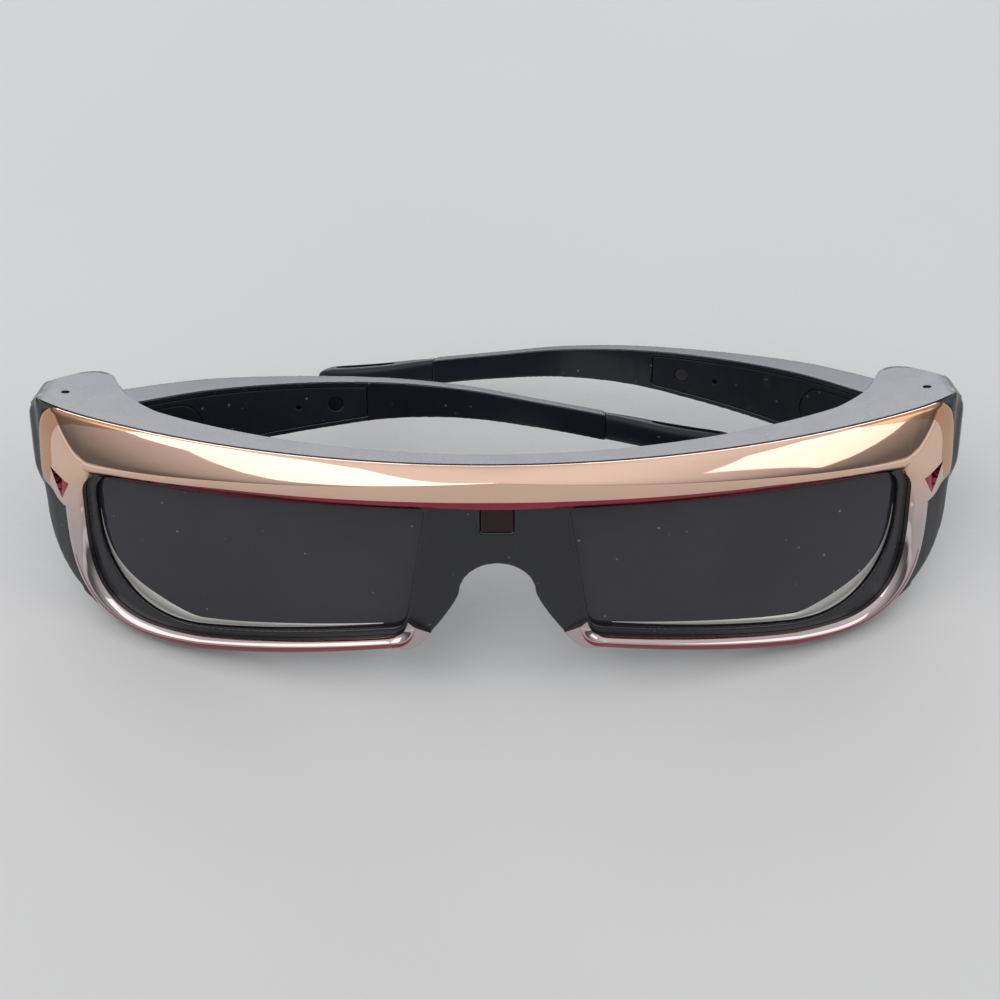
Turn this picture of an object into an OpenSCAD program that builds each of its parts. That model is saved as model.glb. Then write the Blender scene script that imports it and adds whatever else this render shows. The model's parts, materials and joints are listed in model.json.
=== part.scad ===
// Active shutter glasses for stereo viewing, folded and lying on a table.
// The glasses are drawn upright as they are worn: X runs across the face, +Y runs back
// from the brow and +Z is up. at_rest() then leans them back onto the table.

/* [Front] */
// Width of the front where its wings end
front_w = 168; // [164:1:174]
// Height of the brow band above the lens openings, at the middle
brow_h = 7.9; // [7:0.1:9.5]
// How far the ends of the brow stand above its middle
brow_rise = 3.3; // [2.5:0.1:4.5]
// Radius of the wrap of the front, seen from above
wrap_r = 161.5; // [150:0.5:200]
// Extra sweep of the wrap at the very ends
end_sweep = 1.7; // [1:0.1:2.5]
// Thickness of the front housing
housing_t = 2.9; // [2.7:0.1:3.3]
// Depth of the brow bar at the middle, housing and cover together
brow_depth = 4.8; // [4.6:0.1:6]
// Radius of the brow bar's rear face, seen from above
brow_rear_r = 120; // [114:2:130]
// Thickness of the cover round the lenses
cover_t = 2; // [1.6:0.1:2.6]

/* [Lenses] */
// Width of one lens opening
lens_w = 62; // [60:0.2:64]
// Height of one lens opening where it is tallest
lens_h = 29; // [27:0.2:30]
// How much higher the top of the opening is at its outer end
lens_rise = -0.4; // [-1:0.1:1]
// Gap between the two lens openings, at the top
bridge_w = 25.2; // [24:0.2:27]
// How far the inner edge of an opening leans out at the bottom
lens_lean = 3.3; // [2:0.1:4]
// Width of the sweep at the lower outer corner of an opening
sweep_w = 20.2; // [17:0.1:22]
// Height of the sweep at the lower outer corner of an opening
sweep_h = 21; // [17:0.5:23]
// Width of the ledge between the bezel and a lens, at its outer side
ledge_side = 2; // [1.4:0.1:2.4]
// Width of the ledge between the bezel and a lens, at its bottom
ledge_low = 1.3; // [1:0.1:1.8]
// Thickness of a shutter lens
lens_t = 1.5; // [1.2:0.1:1.6]
// How far a lens reaches under the lip that holds it
lens_lap = 1.2; // [0.8:0.1:1.6]
// Thickness of that lip
lip_t = 1.2; // [1:0.1:1.2]

/* [Bezel] */
// Height of the lower rim
rim_h = 2.9; // [2.6:0.1:3.6]
// How far the lower rim rises towards the nose
rim_slope = 3.9; // [3:0.1:4.4]
// Width of the bars outside the lenses
side_bar = 4.3; // [4:0.1:5]
// How far the ridge of the brow stands proud
brow_ridge = 3.4; // [2.4:0.1:4]
// How far the ridge of the rims stands proud
rim_ridge = 2.1; // [1.6:0.1:2.6]
// How far the bezel's edges stand proud
bezel_edge = 0.8; // [0.6:0.1:1]
// Gap between the bezel and the housing
bezel_gap = 0.12; // [0.1:0.02:0.2]

/* [Nose] */
// Height of the top of the nose arch
arch_z = 21.1; // [19.5:0.1:22]
// Half width of the arch at its spring line
arch_half_w = 6.8; // [6:0.1:7.6]
// Height of the rounded top of the arch
arch_crown = 6; // [5:0.5:7]
// Spread of the arch from its spring line to the lower rim
arch_flare = 7.4; // [6.5:0.1:8]
// Thickness of the nose pad
pad_t = 1.8; // [1.4:0.1:2.4]
// Depth of the nose pad behind the cover
pad_depth = 5.5; // [4:0.5:7]
// Diameter of the pegs that hold the nose pad
peg_d = 1.2; // [1:0.1:1.4]

/* [Receiver window] */
// Width of the infrared window
window_w = 5.6; // [5:0.2:7]
// Height of the infrared window
window_h = 4.2; // [3.6:0.2:4.6]

/* [Hinges] */
// Distance of a hinge axis from the end of the front
hinge_in = 5; // [4.8:0.1:5.4]
// Distance of a hinge axis behind the face of the front there
hinge_y = 7.6; // [7:0.1:9]
// How far the bottom of an end piece lies below the middle of the brow
end_z = 14.8; // [14:0.1:16]
// How far the side of an end piece bulges out past the wing
side_bulge = 3; // [2:0.1:3.6]
// Thickness of the plates above and below a hinge
plate_t = 1.7; // [1.5:0.1:2]
// Diameter of a hinge pin
pin_d = 1.5; // [1.2:0.1:1.8]
// Radius of a temple's knuckle
knuckle_r = 2.9; // [2.6:0.1:3]
// Angle of the folded left temple to the brow
fold_left = 22; // [21:0.5:24]
// Angle of the folded right temple to the brow
fold_right = 3.5; // [2:0.5:4]

/* [Temples] */
// Length of a temple from its hinge axis
arm_len = 126; // [122:1:128]
// How far a temple bows out
arm_bow = 7.6; // [6:0.2:8.6]
// Thickness of a temple near its hinge
arm_base_t = 8.6; // [8.2:0.1:9.2]
// Thickness of a temple behind its housing
arm_thin_t = 2.6; // [2.2:0.1:3]
// Height of a temple at the middle
arm_mid_h = 6; // [5.6:0.1:7]
// How far the tip of a temple lies below its hinge end
arm_droop = 11.2; // [10.6:0.2:12]
// Thickness of the inner cover of a temple
inner_t = 1.2; // [1:0.1:1.4]
// Distance of the end of the inner cover from the hinge axis
inner_end = 55; // [53:1:58]
// Wall of a temple round its hollow
arm_wall = 1.1; // [0.9:0.1:1.3]
// Length of the oval cap near the hinge
cap_len = 14; // [12:0.5:15]
// Height of the oval cap near the hinge
cap_h = 8.4; // [7:0.2:9]
// Distance of the cover screw from the hinge axis
screw_u = 49; // [47:0.5:50]

/* [Ear tips] */
// Length of an ear tip
tip_len = 26; // [24:1:28]
// Thickness of the loop of an ear tip
tip_t = 4.4; // [4:0.1:5]
// Height of an ear tip
tip_h = 5.2; // [4.8:0.1:5.8]
// Length of the slot in an ear tip
slot_len = 13; // [11:0.5:14]
// Width of the slot in an ear tip
slot_w = 1.5; // [1.2:0.1:1.8]

/* [Fits] */
// Gap between pieces that are fixed together
fit = 0.1; // [0.08:0.01:0.14]
// Radial clearance of the temples on their pins
run_fit = 0.05; // [0.03:0.01:0.08]
// Gap beside moving pieces
move_gap = 0.3; // [0.25:0.01:0.35]

/* [Hidden] */
$fn = 48;
half = front_w / 2;
hinge_x = half - hinge_in;
far = 200;

// Interpolation in a table of [position, value] rows, with smooth slopes
function row_at(t, x, i = 0) = i >= len(t) - 2 || x <= t[i + 1][0] ? i : row_at(t, x, i + 1);
function slope_at(t, i) =
    let (a = max(i - 1, 0), b = min(i + 1, len(t) - 1))
    (t[b][1] - t[a][1]) / (t[b][0] - t[a][0]);
function along(t, x) =
    let (i = row_at(t, x), h = t[i + 1][0] - t[i][0], s = (x - t[i][0]) / h,
         m0 = h * slope_at(t, i), m1 = h * slope_at(t, i + 1))
    t[i][1] * (1 + 2 * s) * (1 - s) * (1 - s) + m0 * s * (1 - s) * (1 - s)
    + t[i + 1][1] * s * s * (3 - 2 * s) + m1 * s * s * (s - 1);
function reversed(list) = [for (i = [len(list) - 1:-1:0]) list[i]];
function mirrored(list) = [for (p = list) [-p[0], p[1]]];
function arc(c, rx, rz, a0, a1, n) =
    [for (i = [0:n]) let (a = a0 + (a1 - a0) * i / n) c + [rx * cos(a), rz * sin(a)]];
// Point on a squared lower outer corner, a turns from 0 at its side to 90 at its bottom
function corner(c, rx, rz, power, a) =
    c + [rx * pow(max(cos(a), 0), 2 / power), -rz * pow(max(sin(a), 0), 2 / power)];
// Smooth curve through points, with its two end points kept
function through(p, n) = [for (i = [0:len(p) - 2]) for (j = [0:i == len(p) - 2 ? n : n - 1])
    let (s = j / n, a = p[max(i - 1, 0)], b = p[i], c = p[i + 1], d = p[min(i + 2, len(p) - 1)])
    b + s / 2 * ((c - a) + s * ((2 * a - 5 * b + 4 * c - d) + s * (3 * (b - c) + d - a)))];

// Plan of the front: the face that the bezel sits on, and the rear of the brow bar
end_sweep_len = 14;
function face_y(x) =
    wrap_r - sqrt(wrap_r * wrap_r - x * x)
    + end_sweep * pow(max(abs(x) - half + end_sweep_len, 0) / end_sweep_len, 3);
function rear_y(x) = brow_depth + brow_rear_r - sqrt(brow_rear_r * brow_rear_r - x * x);
function face_angle(x) = atan2(face_y(x + 0.05) - face_y(x - 0.05), 0.1);
plan_step = 2;
plan_half = [for (x = [0:plan_step:half - 0.01]) x];
plan_x = concat([-half], [for (x = reversed(plan_half)) -x],
                [for (i = [1:len(plan_half) - 1]) plan_half[i]], [half]);

// Front view: the brow line, the lens openings, the nose arch and the outer edge
lens_in = bridge_w / 2;
lens_out = lens_in + lens_w;
lens_top = rim_h + lens_h;
brow_mid = lens_top + brow_h;
function brow_z(x) = brow_mid + brow_rise * pow(x / half, 2);
function brow_low_z(x) = lens_top + lens_rise * max(abs(x) - lens_in, 0) / lens_w;
sweep_c = [lens_out - sweep_w, rim_h + sweep_h];
sweep_steps = 14;
bezel_power = 3.2;
lens_power = 2.2;
rim_corner_power = 3;
edge_power = 2.5;
top_in_r = 1.5;
top_out_r = 4;
low_in_r = 3;
top_in_c = [lens_in + top_in_r, lens_top - top_in_r];
top_out_c = [lens_out - top_out_r, lens_top + lens_rise - top_out_r];
low_in_c = [lens_in + lens_lean + low_in_r, rim_h + rim_slope + low_in_r];
rim_power = 1.2;
function rim_low(x) = let (s = (sweep_c[0] - x) / (sweep_c[0] - low_in_c[0]))
    rim_slope * pow(min(max(s, 0), 1), rim_power);
rim_steps = 6;
rim_x = [for (i = [1:rim_steps - 1]) low_in_c[0] + (sweep_c[0] - low_in_c[0]) * i / rim_steps];
// Opening of the housing, inside the ledge, moved outward by m
function lens_outline(m) = concat(
    arc(top_in_c, top_in_r + m, top_in_r + m, 180, 90, 4),
    arc(top_out_c - [ledge_side, 0], top_out_r + m, top_out_r + m, 90, 0, 6),
    [for (i = [0:sweep_steps]) corner(sweep_c, sweep_w - ledge_side + m, sweep_h - ledge_low + m,
        lens_power, 90 * i / sweep_steps)],
    [for (x = reversed(rim_x)) [x, rim_h + ledge_low + rim_low(x) - m]],
    arc(low_in_c + [0, ledge_low], low_in_r + m, low_in_r + m, -90, -180, 5));
arch_spring = arch_z - arch_crown;
arch_power = 1.2;
low_edge = rim_slope + 0.6;
function arch_x(z) = z > arch_spring
    ? arch_half_w * sqrt(max(1 - pow((z - arch_spring) / arch_crown, 2), 0))
    : arch_half_w + arch_flare * pow((arch_spring - z) / (arch_spring - low_edge), arch_power);
arch_steps = 8;
function arch_line(m) = concat(
    arc([0, arch_spring], arch_half_w + m, arch_crown + m, 90, 0, 6),
    [for (i = [1:arch_steps]) let (z = arch_spring + (low_edge - arch_spring) * i / arch_steps)
        [arch_x(z) + m, z]]);
edge_c = [half - sweep_c[0], sweep_h + rim_h];
edge_corner = [for (i = [0:sweep_steps])
    corner(sweep_c, edge_c[0], edge_c[1], edge_power, 90 * (1 - i / sweep_steps))];
top_steps = 14;
top_points = [for (i = [0:top_steps]) let (x = half * (1 - i / top_steps))
    [x, brow_z(x)]];
half_outline = concat(arch_line(0), [[low_in_c[0], rim_slope]], [for (x = rim_x) [x, rim_low(x)]],
    edge_corner, top_points);
function inner_part(list) = [for (i = [1:len(list) - 2]) list[i]];
front_outline = concat(half_outline, mirrored(reversed(inner_part(half_outline))));

// Prism of a front view outline, and slab between two offsets from the face
module front_prism(points, y0 = -far / 4, y1 = far / 2)
    translate([0, y1, 0]) rotate([90, 0, 0]) linear_extrude(y1 - y0) polygon(points);
module both() {
    children();
    mirror([1, 0, 0]) children();
}
module slab(d0, d1)
    translate([0, 0, -far / 4]) linear_extrude(far) polygon(concat(
        [for (x = plan_x) [x, face_y(x) + d0]],
        [for (x = reversed(plan_x)) [x, face_y(x) + d1]]));

// End piece: plan lobe round the hinge, sloping cheek below, slot for the knuckle
end_len = 22;
end_x = half - end_len;
wing_x = half - 0.8;
axis_y = face_y(hinge_x) + hinge_y;
end_low = brow_mid - end_z;
lobe_c = [hinge_x - 0.6, axis_y + 1.9];
lobe_r = hinge_in + 0.6;
lobe_turn = 135;
cheek_z = 9;
cheek_y = face_y(end_x) - 2.4;
cheek_run = 13;
slot_z0 = end_low + plate_t;
slot_z1 = brow_z(hinge_x) - plate_t;
wall_x = hinge_x + knuckle_r + move_gap;
slot_y = axis_y - knuckle_r - 3.4;
end_face = concat(
    [for (x = plan_x) if (x > end_x + 0.01 && x < wing_x - 0.01) [x, face_y(x)]],
    [[wing_x, face_y(wing_x)], [half, face_y(half) + 1], [half + 0.6 * side_bulge, face_y(half) + 2.4]]);
end_foot = [[end_x, rear_y(end_x)], [end_x, face_y(end_x)]];
end_plan = concat(end_face, arc(lobe_c, lobe_r + side_bulge, lobe_r, 0, lobe_turn, 10), end_foot);
// Rear edge of the roof over the hinge, from the hinge axis
roof_edge = [[hinge_in + side_bulge, 1.9], [hinge_in, 4.8], [2.1, 8.3], [-1.3, 11.4], [-4.4, 12.2],
             [-6.7, 10.4], [-8.4, 6.6], [-12.3, -1.6]];
roof_plan = concat(end_face, through([for (p = roof_edge) p + [hinge_x, axis_y]], 4), end_foot);
// Bulging side of an end piece, from its wing's foot to its roof: share of the height, share of the bulge
side_curve = through([[0, 0], [0.2, 0.62], [0.4, 0.97], [0.6, 1], [0.8, 0.72], [0.95, 0.2], [1, -0.15]], 3);
end_front = concat(edge_corner,
    [for (p = side_curve) [half + side_bulge * p[1], sweep_c[1] + (brow_z(half) - sweep_c[1]) * p[0]]],
    [for (i = [1:6]) let (x = half - (half - sweep_c[0]) * i / 6) [x, brow_z(x)]]);
module above_cheek(gap = 0) rotate([90, 0, 90]) linear_extrude(far) polygon(
    [[-5, cheek_z - gap], [cheek_y, cheek_z - gap], [cheek_y + cheek_run, end_low - gap],
     [far, end_low - gap], [far, far], [-5, far]]);
module end_piece() intersection() {
    front_prism(end_front);
    union() {
        intersection() {
            linear_extrude(far) polygon(end_plan);
            above_cheek();
        }
        translate([0, 0, slot_z1 - plate_t / 2]) linear_extrude(far) polygon(roof_plan);
    }
}
module hinge_slot() translate([0, 0, slot_z0]) linear_extrude(slot_z1 - slot_z0) polygon(
    [[end_x - 20, slot_y], [wall_x, slot_y], [wall_x, axis_y + 1], [far, axis_y + 1],
     [far, far], [end_x - 20, far]]);
pin_z0 = end_low - 0.1;
pin_sink = 0.5;
pin_top = brow_z(hinge_x) - pin_sink;
module pin_hole(gap) translate([hinge_x, axis_y, end_low - 2]) cylinder(d = pin_d + 2 * gap, h = 30);

// Screws that hold the cover to the housing
cover_screw_x = [15, 47];
cover_screw_z = brow_mid - 1.9;
cover_screw_d = 1.2;
cover_head_d = 2.2;
cover_head_t = 0.8;
module cover_screw(x, gap, up = 0) {
    y1 = rear_y(x) - 0.3;
    y0 = face_y(x) + 0.9;
    translate([x, y1, cover_screw_z]) rotate([90, 0, 0]) {
        cylinder(d = cover_screw_d + 2 * gap, h = y1 - y0 + gap);
        translate([0, 0, -up]) cylinder(d = cover_head_d + 2 * gap, h = cover_head_t + up + gap);
    }
}

// Infrared window and receiver in the bridge
window_z = lens_top - 0.5 - window_h;
window_t = 1.2;
receiver_w = window_w - 1.6;
receiver_h = window_h - 1.2;
receiver_t = 1.1;
module centre_block(w, h, z, y0, y1)
    translate([-w / 2, y0, z]) cube([w, y1 - y0, h]);

// Flexible circuit in the brow bar
flex_t = 0.3;
flex_z = lens_top + lens_lap + 5 * fit;
flex_h = cover_screw_z - cover_head_d / 2 - 4 * fit - flex_z;
flex_half = end_x - 2;
module flex_space(gap) intersection() {
    slab(housing_t + fit - 0.01, housing_t + fit + flex_t + gap);
    translate([-flex_half - gap, -5, flex_z - gap]) cube([2 * (flex_half + gap), far, flex_h + 2 * gap]);
}

// Pegs of the nose pad
peg_z = arch_spring - 3;
peg_x = arch_x(peg_z) + pad_t / 2 + 0.3;
peg_len = 1.2;
pad_y = housing_t + fit + cover_t;
module pad_peg(gap) translate([peg_x, face_y(peg_x) + pad_y + 1, peg_z]) rotate([90, 0, 0])
    cylinder(d = peg_d + 2 * gap, h = peg_len + 1 + gap);

module front_housing() color([0.1, 0.1, 0.11]) at_rest() difference() {
    union() {
        intersection() {
            slab(0, housing_t);
            front_prism(front_outline);
        }
        both() end_piece();
    }
    both() {
        front_prism(lens_outline(0));
        intersection() {
            slab(lip_t, housing_t + 0.2);
            front_prism(lens_outline(lens_lap + fit));
        }
        hinge_slot();
        pin_hole(0.02);
        for (x = cover_screw_x) cover_screw(x, fit);
    }
    centre_block(window_w + 2 * fit, window_h + 2 * fit, window_z - fit, -1, window_t + fit);
    centre_block(receiver_w + 2 * fit, receiver_h + 2 * fit, window_z + 0.6 - fit, 0, 10);
}

module rear_cover() color([0.12, 0.12, 0.13]) at_rest() difference() {
    union() {
        intersection() {
            slab(housing_t + fit, housing_t + fit + cover_t);
            front_prism(front_outline);
        }
        intersection() {
            front_prism(front_outline);
            translate([0, 0, lens_top - 0.2]) linear_extrude(far) polygon(concat(
                [for (x = plan_x) if (abs(x) < end_x) [x, face_y(x) + housing_t + fit]],
                [for (x = reversed(plan_x)) if (abs(x) < end_x) [x, rear_y(x)]]));
        }
    }
    both() {
        front_prism(lens_outline(0));
        intersection() {
            translate([end_x - fit, -5, -5]) cube(far);
            above_cheek(2 * fit);
        }
        for (x = cover_screw_x) cover_screw(x, fit, 3);
        pad_peg(fit);
    }
    flex_space(fit);
}

module lens() intersection() {
    slab(lip_t + fit, lip_t + fit + lens_t);
    front_prism(lens_outline(lens_lap));
}
module left_lens() color([0.2, 0.2, 0.22]) at_rest() lens();
module right_lens() color([0.2, 0.2, 0.22]) at_rest() mirror([1, 0, 0]) lens();

module ir_window() color([0.25, 0.04, 0.06]) at_rest()
    centre_block(window_w, window_h, window_z, 0.15, window_t);
module ir_receiver() color([0.15, 0.15, 0.17]) at_rest()
    centre_block(receiver_w, receiver_h, window_z + 0.6, window_t + 2 * fit,
        window_t + 2 * fit + receiver_t);
module flex_circuit() color([0.75, 0.5, 0.15]) at_rest() flex_space(0);
module cover_screws() color([0.5, 0.5, 0.52]) at_rest() both()
    for (x = cover_screw_x) cover_screw(x, 0);

module nose_pad() color([0.13, 0.13, 0.14]) at_rest() {
    intersection() {
        slab(pad_y, pad_y + pad_depth);
        front_prism(concat(arch_line(pad_t), reversed(arch_line(0)),
            mirrored(inner_part(arch_line(0))), mirrored(reversed(arch_line(pad_t)))));
    }
    both() pad_peg(0);
}

// Bezel: stations along the strip, each with its inner edge, outer edge, ridge place and heights
wing_end = wing_x - 7.2;
wing_line = [[0, lens_out + side_bar], [0.1, wing_x - 3.2], [0.22, wing_x - 1.7], [0.34, wing_x],
             [0.62, wing_x], [0.8, wing_x - 0.9], [0.9, wing_x - 3.4], [1, wing_end]];
wing_rise = [[0, sweep_c[1]], [0.1, sweep_c[1] + 0.4], [0.22, sweep_c[1] + 2.5], [0.34, sweep_c[1] + 4.2],
             [0.62, sweep_c[1] + 10.5], [0.8, brow_z(wing_x) - 3.2], [0.9, brow_z(wing_x - 3.4) - 0.3],
             [1, brow_z(wing_end)]];
wing_star = 0.34;
function wing_in(t) =
    let (a = 90 * max(t - 0.25, 0) / 0.75, side = min(t / 0.25, 1))
    [top_out_c[0] + top_out_r * cos(a),
     sweep_c[1] + (top_out_c[1] - sweep_c[1]) * side + top_out_r * sin(a)];
rim_end_a = -165;
rim_out = rim_h - 0.4;
stations_half = concat(
    [for (i = [0:4]) let (a = rim_end_a + (-90 - rim_end_a) * i / 4, d = [cos(a), sin(a)])
        [low_in_c + low_in_r * d, low_in_c + (low_in_r + rim_out) * d, 0.5, rim_ridge]],
    [for (i = [1:rim_steps - 1]) let (x = rim_x[i - 1], s = i / rim_steps)
        [[x, rim_h + rim_low(x)], [x, rim_low(x) + (rim_h - rim_out) * (1 - s)], 0.5, rim_ridge]],
    [for (i = [0:12]) let (a = 90 * (1 - i / 12))
        [corner(sweep_c, sweep_w, sweep_h, bezel_power, a),
         corner(sweep_c, sweep_w + side_bar, edge_c[1], rim_corner_power, a), 0.5, rim_ridge]],
    [for (i = [1:16]) let (t = i / 16)
        [wing_in(t), [along(wing_line, t), along(wing_rise, t)],
         0.5 - 0.24 * min(t / wing_star, 1) - 0.04 * t, rim_ridge + (brow_ridge - rim_ridge) * t]],
    [for (i = [1:14]) let (s = 1 - i / 14, x = top_out_c[0] * s, xo = wing_end * s)
        [[x, brow_low_z(x)], [xo, brow_z(xo)], 0.75 - 0.53 * s, brow_ridge]]);
function flip_station(st) = [[-st[0][0], st[0][1]], [-st[1][0], st[1][1]], st[2], st[3]];
stations = concat(stations_half, [for (i = [len(stations_half) - 2:-1:0]) flip_station(stations_half[i])]);
lip_h = 1.3;
ridge_power = 1.45;
function swell(t, r, h) = t < r
    ? h - (h - lip_h) * pow((r - t) / r, ridge_power)
    : h - (h - bezel_edge) * pow((t - r) / (1 - r), ridge_power);
function on_face(p, h) = let (a = face_angle(p[0]))
    [p[0] + h * sin(a), face_y(p[0]) - h * cos(a), p[1]];
function ring_t(r) = [0, 0.35 * r, 0.7 * r, r, r + 0.3 * (1 - r), r + 0.65 * (1 - r), 1];
function bezel_ring(st) = concat(
    [for (t = ring_t(st[2])) on_face(st[0] + (st[1] - st[0]) * t, swell(t, st[2], st[3]))],
    [for (t = reversed(ring_t(st[2]))) on_face(st[0] + (st[1] - st[0]) * t, bezel_gap)]);
bezel_rings = [for (st = stations) bezel_ring(st)];
module skin(rings) {
    n = len(rings[0]);
    last = len(rings) - 1;
    sides = [for (j = [0:last - 1]) for (i = [0:n - 1]) let (k = (i + 1) % n, a = j * n, b = a + n)
        each [[a + i, a + k, b + k], [a + i, b + k, b + i]]];
    cap = [for (i = [0:n / 2 - 2]) each [[i, n - 1 - i, n - 2 - i], [i, n - 2 - i, i + 1]]];
    far_cap = [for (f = cap) [for (v = reversed(f)) v + last * n]];
    polyhedron([for (r = rings) each r], concat(sides, cap, far_cap));
}
module front_bezel() color([0.62, 0.46, 0.42]) at_rest() skin(bezel_rings);

// Temple in its own plan: u runs from the hinge axis to the tip, v runs out from the head
base_in = 4.4;
arm_in = [[0, -base_in], [4, -base_in], [10, -2.2], [25, 0.55 * arm_bow], [43, arm_bow],
          [60, 1.03 * arm_bow], [arm_len - 49, 0.65 * arm_bow], [arm_len - 34, 0.36 * arm_bow],
          [arm_len - 20, 0.12 * arm_bow], [arm_len - 9, 0], [arm_len, 0]];
arm_thick = [[0, base_in + knuckle_r - 0.6], [3, base_in + knuckle_r - 0.2], [10, arm_base_t],
             [20, arm_base_t - 1.2], [40, 4.4], [55, arm_thin_t + 0.6], [arm_len - 49, arm_thin_t],
             [arm_len - tip_len, arm_thin_t], [arm_len - 18, tip_t - 0.4],
             [arm_len - 12, tip_t], [arm_len - 4, tip_t - 0.4], [arm_len, tip_t - 1.6]];
arm_z1 = slot_z1 - move_gap;
arm_h = arm_z1 - slot_z0 - move_gap;
arm_top = [[0, arm_z1], [40, arm_z1 - 0.2], [arm_len - 54, arm_z1 - 1.6], [arm_len - 39, arm_z1 - 3.9],
           [arm_len - 24, arm_z1 - arm_droop + 4.6], [arm_len - 14, arm_z1 - arm_droop + 2.4],
           [arm_len, arm_z1 - arm_droop]];
arm_high = [[0, arm_h], [8, arm_h - 0.1], [25, arm_h - 1.7], [47, arm_mid_h + 3.2], [58, arm_mid_h + 1.5],
            [arm_len - 54, arm_mid_h], [arm_len - 39, arm_mid_h - 0.8], [arm_len - 24, tip_h],
            [arm_len - 9, tip_h], [arm_len, tip_h - 1.2]];
function v_in(u) = along(arm_in, u);
function v_out(u) = v_in(u) + along(arm_thick, u);
function z_top(u) = along(arm_top, u);
function z_low(u) = z_top(u) - along(arm_high, u);
arm_step = 3;
function u_range(u0, u1) = let (n = ceil((u1 - u0) / arm_step)) [for (i = [0:n]) u0 + (u1 - u0) * i / n];

// Slice of a temple between two offsets: from its inner face, or up to its outer face
module arm_slice(u0, u1, d0, d1, z_in = 0, to_outer = false) {
    us = u_range(u0, u1);
    intersection() {
        linear_extrude(far) polygon(concat(
            [for (u = us) [u, v_in(u) + d0]],
            [for (u = reversed(us)) [u, (to_outer ? v_out(u) : v_in(u)) + d1]]));
        translate([0, far / 2, 0]) rotate([90, 0, 0]) linear_extrude(far) polygon(concat(
            [for (u = us) [u, z_low(u) + z_in]],
            [for (u = reversed(us)) [u, z_top(u) - z_in]]));
    }
}
module across(u, z, d, v0, v1)
    translate([u, v1, z]) rotate([90, 0, 0]) cylinder(d = d, h = v1 - v0);
function arm_mid_z(u) = (z_top(u) + z_low(u)) / 2;
arm_heel = 0.4;
inner_start = 9;
hollow_start = 12;
hollow_end = 40;
cover_rim = 1;
tip_u = arm_len - tip_len;
tongue_len = 6;
tongue_t = 1.1;
tongue_in = (arm_thin_t - tongue_t) / 2;
module tongue(gap) arm_slice(tip_u - 1, tip_u + tongue_len + gap, tongue_in - gap,
    tongue_in + tongue_t + gap, tip_h / 2 - 1.4 - gap);
screw_d = 1.3;
screw_head_d = 2.6;
screw_head_t = 0.7;
screw_sink = 0.3;
screw_reach = 2.7;
screw_z = arm_mid_z(screw_u);

module temple_shell(bottom_holes = false) difference() {
    union() {
        arm_slice(arm_heel, tip_u, 0, 0, 0, true);
        translate([0, 0, slot_z0 + move_gap]) cylinder(r = knuckle_r, h = arm_h);
        tongue(0);
    }
    translate([0, 0, -1]) cylinder(d = pin_d + 2 * run_fit, h = far);
    arm_slice(inner_start, inner_end, -3, inner_t, cover_rim);
    arm_slice(hollow_start, hollow_end, inner_t - 0.1, -arm_wall, cover_rim + 0.8, true);
    across(screw_u, screw_z, screw_d + 2 * fit, -far / 4, v_in(screw_u) + screw_reach + fit);
    if (bottom_holes) {
        port_block(fit, 2);
        button_bore();
    }
}

// Oval cap, its seat in the inner cover, the screw seat and the pinhole
cap_u = hollow_start + 5;
cap_t = 0.6;
pinhole_u = screw_u - 7;
pinhole_d = 1;
module cap_oval(gap)
    translate([cap_u, far / 4, arm_mid_z(cap_u)]) rotate([90, 0, 0]) linear_extrude(far / 2) {
        for (s = [-1, 1]) translate([s * (cap_len - cap_h) / 2, 0]) circle(d = cap_h + 2 * gap);
        square([cap_len - cap_h, cap_h + 2 * gap], center = true);
    }
module temple_cover() difference() {
    arm_slice(inner_start + fit, inner_end - fit, 0, inner_t - fit, cover_rim + fit);
    intersection() {
        arm_slice(inner_start, inner_end, -2, cap_t + fit);
        cap_oval(fit);
    }
    across(screw_u, screw_z, screw_d + 2 * fit, -far / 4, far / 4);
    across(screw_u, screw_z, screw_head_d + 2 * fit, -far / 4,
        v_in(screw_u) + screw_sink + screw_head_t);
    across(pinhole_u, arm_mid_z(pinhole_u), pinhole_d, -far / 4, far / 4);
}
module inner_cap() intersection() {
    arm_slice(inner_start, inner_end, 0, cap_t);
    cap_oval(0);
}
module temple_screw() {
    v = v_in(screw_u) + screw_sink;
    across(screw_u, screw_z, screw_head_d, v, v + screw_head_t);
    across(screw_u, screw_z, screw_d, v, v_in(screw_u) + screw_reach);
}

// Ear tip: a soft loop with a slot through it
slot_u1 = arm_len - 4;
slot_u0 = slot_u1 - slot_len;
function slot_v(u) = (v_in(u) + v_out(u)) / 2;
module ear_tip() difference() {
    arm_slice(tip_u, arm_len, 0, 0, 0, true);
    tongue(fit);
    linear_extrude(far) polygon(concat(
        [for (u = u_range(slot_u0, slot_u1)) [u, slot_v(u) - slot_w / 2]],
        [for (u = reversed(u_range(slot_u0, slot_u1))) [u, slot_v(u) + slot_w / 2]]));
    for (u = [slot_u0, slot_u1]) translate([u, slot_v(u), 0]) cylinder(d = slot_w, h = far);
}

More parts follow.
